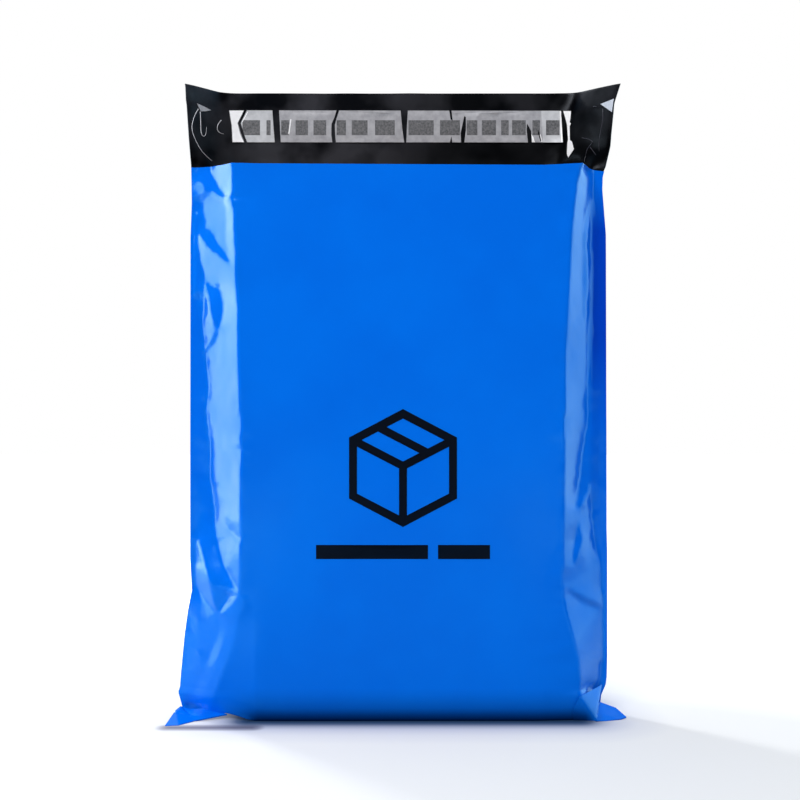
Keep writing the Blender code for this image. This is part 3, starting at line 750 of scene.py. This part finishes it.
def in_front(tree, u, v, off):
    """The place on a surface that the camera sees at a pixel, brought that far towards the camera."""
    eye = Vector((origin_x, weld_y - CAMERA_DISTANCE, CAMERA_HEIGHT)) * MM
    way = Vector(((u - FRAME_MIDDLE) / FOCAL_PIXELS, 1.0, (FRAME_MIDDLE - v) / FOCAL_PIXELS)).normalized()
    hit = tree.ray_cast(eye, way)[0]
    return hit - way * off * MM


def cut_sheet(name, tree, off, outlines, inner, kind_of):
    """A sheet laid on a surface as the camera sees it, cut along outlines given in pixels.

    KIND_OF takes the middles of its triangles and gives each one's material place or LEFT_OUT."""
    points, lines = list(inner), []
    for path in outlines:
        first = len(points)
        points.extend(Vector(place) for place in path)
        lines.extend((first + i, first + (i + 1) % len(path)) for i in range(len(path)))
    flat, _, faces, *_ = delaunay_2d_cdt(points, lines, [], KEEP_INSIDE, SAME_PLACE)
    middles = np.array([[sum(flat[i][axis] for i in face) / 3 for axis in (0, 1)] for face in faces])
    kinds = kind_of(middles[:, 0], middles[:, 1])
    shown = np.flatnonzero(kinds != LEFT_OUT).tolist()
    data = bpy.data.meshes.new(name)
    places = [in_front(tree, *place, off) for place in flat]
    data.from_pydata(places, [], [faces[index] for index in shown])
    data.polygons.foreach_set("material_index", [int(kinds[index]) for index in shown])
    mesh = bmesh.new()
    mesh.from_mesh(data)
    loose = [corner for corner in mesh.verts if not corner.link_faces]
    bmesh.ops.delete(mesh, geom=loose, context="VERTS")
    face_camera(mesh)
    mesh.to_mesh(data)
    mesh.free()
    return data


def grid_between(left, right, top, bottom, step):
    """Places inside a box of pixels, which let a cut sheet follow the surface."""
    return [Vector((u, v)) for u in range(left, right, step) for v in range(top, bottom, step)]


def box_outline(left, right, top, bottom):
    return ((left, top), (right, top), (right, bottom), (left, bottom))


def liner_mesh(tree):
    """The liner between its rim, its splits and its printed squares, with the pieces torn off it."""
    squares = [box_outline(left, right, SQUARES_TOP, SQUARES_BOTTOM) for left, right in SQUARES]
    # Painted highlights: white on the glints, the left end and the torn right end, silver on the adhesive.
    layers = ((squares, LINER_PRINT), (PAINTED_GLINTS, LINER_PAINTED_HIGHLIGHT), ((PAINTED_HIGHLIGHT_END,), LINER_PAINTED_HIGHLIGHT),
              (LINER_SPLITS, LEFT_OUT), ((TORN_END_HIGHLIGHT,), LINER_PAINTED_HIGHLIGHT), ((TORN_CORNER,), LINER_PALE),
              ((PAINTED_ADHESIVE_HIGHLIGHT,), LINER_SILVER))

    def kind_of(u, v):
        liner = inside(LINER_RIM, u, v)
        kinds = np.where(liner, LINER_SILVER, LEFT_OUT)
        # The paler parts: a lit copy of the silver, painted where those pieces catch more light.
        kinds[liner & inside_any(PALE_LIT_PARTS, u, v)] = LINER_LIT_SILVER
        for outlines, kind in layers:
            kinds[inside_any(outlines, u, v)] = kind
        return kinds

    outlines = (LINER_RIM, PAINTED_HIGHLIGHT_END, TORN_END_HIGHLIGHT, TORN_CORNER, PAINTED_ADHESIVE_HIGHLIGHT, *PALE_LIT_PARTS, *PAINTED_GLINTS,
                *LINER_SPLITS, *squares)
    return cut_sheet("liner", tree, LINER_LIFT, outlines, grid_between(*LINER_PLACES), kind_of)


def print_mesh(tree):
    """The black print on the front, laid on the film."""
    bars = [box_outline(*bar) for bar in PLAIN_BARS]

    def kind_of(u, v):
        inked = inside_any((CARTON_RIM, *bars), u, v) & ~inside_any(CARTON_FACES, u, v)
        return np.where(inked, FILM_PRINT, LEFT_OUT)

    outlines = (CARTON_RIM, *CARTON_FACES, *bars)
    return cut_sheet("print", tree, PRINT_LIFT, outlines, grid_between(*PRINT_PLACES), kind_of)


def puckers_mesh(tree):
    """Thin rounded ridges along the puckers, each thinner towards its end."""
    data = bpy.data.curves.new("puckers", "CURVE")
    data.dimensions = "3D"
    data.bevel_depth = PUCKER_RADIUS * MM
    data.bevel_resolution = 2
    for _ in PUCKER_LOOKS:
        data.materials.append(None)
    for index, path in enumerate(PUCKERS):
        spline = data.splines.new("NURBS")
        # The first ones take the dull adhesive, the rest the light one, a painted highlight.
        spline.material_index = int(index < DULL_PUCKERS)
        spline.points.add(len(path) - 1)
        for turn, (point, (u, v)) in enumerate(zip(spline.points, path)):
            point.co = (*in_front(tree, u, v, PUCKER_LIFT), 1.0)
            point.radius = 1.0 - PUCKER_TAPER * turn / len(path)
        spline.use_endpoint_u = True
        spline.order_u = 3
    curve = add_object("puckers", data)
    bpy.context.view_layer.update()
    mesh = bpy.data.meshes.new_from_object(curve)
    bpy.data.objects.remove(curve)
    drop_materials(mesh)
    return mesh


def make_piece(name, data, materials, *nodes, slot):
    """Links a mesh as a piece that rides on the bag and stands for those CAD nodes. SLOT is not used."""
    made = add_object(name, data)
    for material in materials:
        data.materials.append(material)
    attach(made, "root")
    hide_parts(*nodes)


class Nodes:
    """A node tree with short calls to add and link nodes."""

    def __init__(self, tree):
        self.tree = tree

    def add(self, kind, **values):
        """A new node with these inputs or settings."""
        node = self.tree.nodes.new(kind)
        for key, value in values.items():
            if key in node.inputs:
                node.inputs[key].default_value = value
            else:
                setattr(node, key, value)
        return node

    def link(self, source, target):
        self.tree.links.new(source, target)

    def place(self, kind="Object"):
        return self.add("ShaderNodeTexCoord").outputs[kind]

    def parts(self, place):
        """The outputs X, Y and Z of a place."""
        split = self.add("ShaderNodeSeparateXYZ")
        self.link(place, split.inputs[0])
        return split.outputs

    def noise(self, scale, detail=3.0):
        noise = self.add("ShaderNodeTexNoise", Scale=scale, Detail=detail)
        self.link(self.place(), noise.inputs["Vector"])
        return noise.outputs["Fac"]

    def ramp(self, source, *stops):
        ramp = self.add("ShaderNodeValToRGB")
        elements = ramp.color_ramp.elements
        while len(elements) < len(stops):
            elements.new(0.5)
        for element, (position, color) in zip(elements, stops):
            element.position = position
            element.color = (*color, 1.0)
        self.link(source, ramp.inputs["Fac"])
        return ramp.outputs["Color"]

    def mix(self, share, without, within, blend="MIX"):
        """Mixes two colours. The node's sockets for colours are 6, 7 and, for the result, 2."""
        mix = self.add("ShaderNodeMix", data_type="RGBA", blend_type=blend)
        for index, value in ((0, share), (6, without), (7, within)):
            if isinstance(value, (tuple, float)):
                mix.inputs[index].default_value = value
            else:
                self.link(value, mix.inputs[index])
        return mix.outputs[2]

    def times(self, first, second):
        return self.mix(1.0, first, second, "MULTIPLY")


class MaterialNodes(Nodes):
    """The nodes of a new material, round its shader."""

    def __init__(self, name):
        self.material = bpy.data.materials.new(name)
        self.material.use_nodes = True
        super().__init__(self.material.node_tree)
        self.shader = self.tree.nodes["Principled BSDF"]

    def shade(self, **values):
        """Sets inputs of the shader. Their names are written with _ for a space."""
        for key, value in values.items():
            self.shader.inputs[key.replace("_", " ")].default_value = value

    def color(self, source):
        self.link(source, self.shader.inputs["Base Color"])

    def bump(self, source, strength, distance):
        bump = self.add("ShaderNodeBump", Strength=strength, Distance=distance)
        self.link(source, bump.inputs["Height"])
        self.link(bump.outputs["Normal"], self.shader.inputs["Normal"])


def shaded(nodes, field):
    """Paints shade into the base colour: a field's dark colour, by the place across the bag and up it."""
    color, across, up = field
    parts = nodes.parts(nodes.place())
    share = nodes.add("ShaderNodeMath", operation="MULTIPLY")
    for index, (axis, stops) in enumerate((("X", across), ("Z", up))):
        reach = nodes.add("ShaderNodeMapRange")
        reach.inputs["From Min"].default_value = -SHADE_REACH
        reach.inputs["From Max"].default_value = SHADE_REACH
        nodes.link(parts[axis], reach.inputs["Value"])
        spread = [(0.5 + stop / (2 * SHADE_REACH), (value,) * 3) for stop, value in stops]
        nodes.link(nodes.ramp(reach.outputs["Result"], *spread), share.inputs[index])
    plain = nodes.shader.inputs["Base Color"].links[0].from_socket
    nodes.color(nodes.mix(share.outputs["Value"], plain, (*color, 1.0)))


def film_material(name, look, *shades):
    low, high, roughness, tint, gloss, patches = look
    nodes = MaterialNodes(name)
    nodes.color(nodes.ramp(nodes.noise(patches), *zip(FILM_PATCHES, (low, high))))
    nodes.shade(Roughness=roughness, IOR=FILM_IOR, Specular_IOR_Level=gloss, Specular_Tint=(*tint, 1.0))
    nodes.bump(nodes.noise(*FILM_GRAIN), *FILM_BUMP)
    # Painted shade, one field after another.
    for field in shades:
        shaded(nodes, field)
    return nodes.material


def plain_material(name, low, high, roughness, scale):
    nodes = MaterialNodes(name)
    nodes.color(nodes.ramp(nodes.noise(scale, PLAIN_DETAIL), *zip(PLAIN_PATCHES, (low, high))))
    nodes.shade(Roughness=roughness)
    nodes.bump(nodes.noise(2 * scale), *PLAIN_BUMP)
    return nodes.material


def add_camera():
    data = bpy.data.cameras.new("view")
    data.sensor_width = SENSOR
    data.lens = FOCAL_PIXELS * SENSOR / (2 * FRAME_MIDDLE)
    camera = add_object("view", data)
    camera.location = Vector((origin_x, weld_y - CAMERA_DISTANCE, CAMERA_HEIGHT)) * MM
    camera.rotation_euler = (math.radians(90), 0, 0)
    bpy.context.scene.camera = camera


def add_lamp(name, place, target, size, power, color):
    data = bpy.data.lights.new(name, "AREA")
    data.shape = "RECTANGLE"
    data.size, data.size_y = size
    data.energy = power
    data.color = color
    lamp = add_object(name, data)
    lamp.location = place
    lamp.rotation_euler = (Vector(target) - Vector(place)).to_track_quat("-Z", "Y").to_euler()


def add_world():
    """White behind the bag, where the camera sees it, a bluish sheen for mirror rays and soft grey light."""
    world = bpy.data.worlds.new("studio")
    world.use_nodes = True
    nodes = Nodes(world.node_tree)
    rays = nodes.add("ShaderNodeLightPath").outputs
    sheen = nodes.ramp(nodes.parts(nodes.place("Generated"))["Y"], *ROOM_SHEEN)
    light = nodes.mix(rays["Is Glossy Ray"], ROOM_LIGHT, sheen)
    shown = nodes.mix(rays["Is Camera Ray"], light, WHITE)
    nodes.link(shown, nodes.tree.nodes["Background"].inputs["Color"])
    bpy.context.scene.world = world


def around_box(nodes, middle, half):
    """How far a place on the floor is from a box given by its middle and its half sides."""
    source = nodes.place()
    for operation, other in (("SUBTRACT", middle), ("ABSOLUTE", None), ("SUBTRACT", half),
                             ("MAXIMUM", (0.0, 0.0, 0.0)), ("LENGTH", None)):
        step = nodes.add("ShaderNodeVectorMath", operation=operation)
        nodes.link(source, step.inputs[0])
        if other:
            step.inputs[1].default_value = other
        source = step.outputs["Value" if operation == "LENGTH" else "Vector"]
    return source


def floor_material():
    """Dull white, with a painted shadow round the bag's foot and under its lifted left edge.

    For the camera alone it glows, most towards its far edges, so that it meets the background.
    """
    nodes = MaterialNodes("floor_white")
    nodes.shade(Roughness=1.0, Specular_IOR_Level=0.0, Emission_Strength=1.0)
    rays = nodes.add("ShaderNodeLightPath").outputs
    # Painted shadow round the foot and under the lifted edge, which darkens both the glow and the colour.
    painted_shadow = nodes.times(nodes.ramp(around_box(nodes, FOOT_MIDDLE, FOOT_HALF), *FOOT_SHADE),
                          nodes.ramp(around_box(nodes, LIFT_MIDDLE, LIFT_HALF), *LIFT_SHADE))
    far = nodes.add("ShaderNodeVectorMath", operation="DISTANCE")
    far.inputs[1].default_value = SHADOW_MIDDLE
    nodes.link(nodes.place(), far.inputs[0])
    glow = nodes.mix(rays["Is Camera Ray"], BLACK, nodes.ramp(far.outputs["Value"], *FLOOR_GLOW))
    nodes.link(nodes.times(glow, painted_shadow), nodes.shader.inputs["Emission Color"])
    # Mirror rays meet a painted bluish reflection instead of the white, darker near the bag.
    aside = nodes.add("ShaderNodeMath", operation="ABSOLUTE")
    nodes.link(nodes.parts(nodes.place())["X"], aside.inputs[0])
    sheen = nodes.ramp(aside.outputs["Value"], *FLOOR_SHEEN)
    nodes.color(nodes.times(nodes.mix(rays["Is Glossy Ray"], FLOOR_WHITE, sheen), painted_shadow))
    return nodes.material


def add_floor():
    mesh = bmesh.new()
    bmesh.ops.create_grid(mesh, x_segments=FLOOR_SQUARES, y_segments=FLOOR_SQUARES, size=FLOOR_HALF)
    data = bpy.data.meshes.new("floor")
    mesh.to_mesh(data)
    mesh.free()
    floor = add_object("floor", data)
    data.materials.append(floor_material())


def add_film(cad):
    """The bag's film with its ears and its print. Gives the faces that the liner and the puckers lie on."""
    parts = [thickened("wall", mesh_of_grid("wall", film_sheet(cad)), FILM_THICKNESS, FILM_INSIDE)]
    for places, facets in (LEFT_EAR, RIGHT_EAR):
        parts.append(thickened("ear", ear_mesh(places, facets), EAR_THICKNESS, 0))
    tree = tree_of(parts)
    parts.append(print_mesh(tree))
    materials = (film_material("film_blue", BLUE_LOOK, BASE_SHADE, FLANK_SHADE),
                 film_material("film_black", BLACK_LOOK, FLAP_SHADE),
                 film_material("print_black", INK_LOOK))
    make_piece("film", united("film", parts), materials, "mailer_bag", slot="mailer_film")
    return tree


def add_liner(tree):
    materials = [plain_material(*look) for look in LINER_LOOKS]
    sheet = thickened("release_liner_strip", liner_mesh(tree), LINER_THICKNESS, 0)
    make_piece("release_liner_strip", sheet, materials, "release_liner", slot="liner")


def add_puckers(tree):
    materials = [plain_material(*look) for look in PUCKER_LOOKS]
    make_piece("adhesive_puckers", puckers_mesh(tree), materials, "adhesive_strip", slot="adhesive")


def main():
    add_camera()
    tree = add_film(CadBag(frame["nodes"]["mailer_bag"]))
    add_liner(tree)
    add_puckers(tree)
    carton = frame["nodes"]["packed_carton"]
    carton.data.materials.clear()
    carton.data.materials.append(plain_material(*CARD_LOOK))
    add_floor()
    for lamp in LAMPS:
        add_lamp(*lamp)
    add_world()
    bpy.context.scene.view_settings.view_transform = "Standard"


clear_scene()
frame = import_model()
carton_low, carton_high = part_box("packed_carton")
# The plane of the welds, and the camera's place across the bag.
weld_y = (carton_low.y + carton_high.y) / 2 / MM
origin_x = (carton_low.x + carton_high.x) / 2 / MM + CAMERA_ASIDE
main()
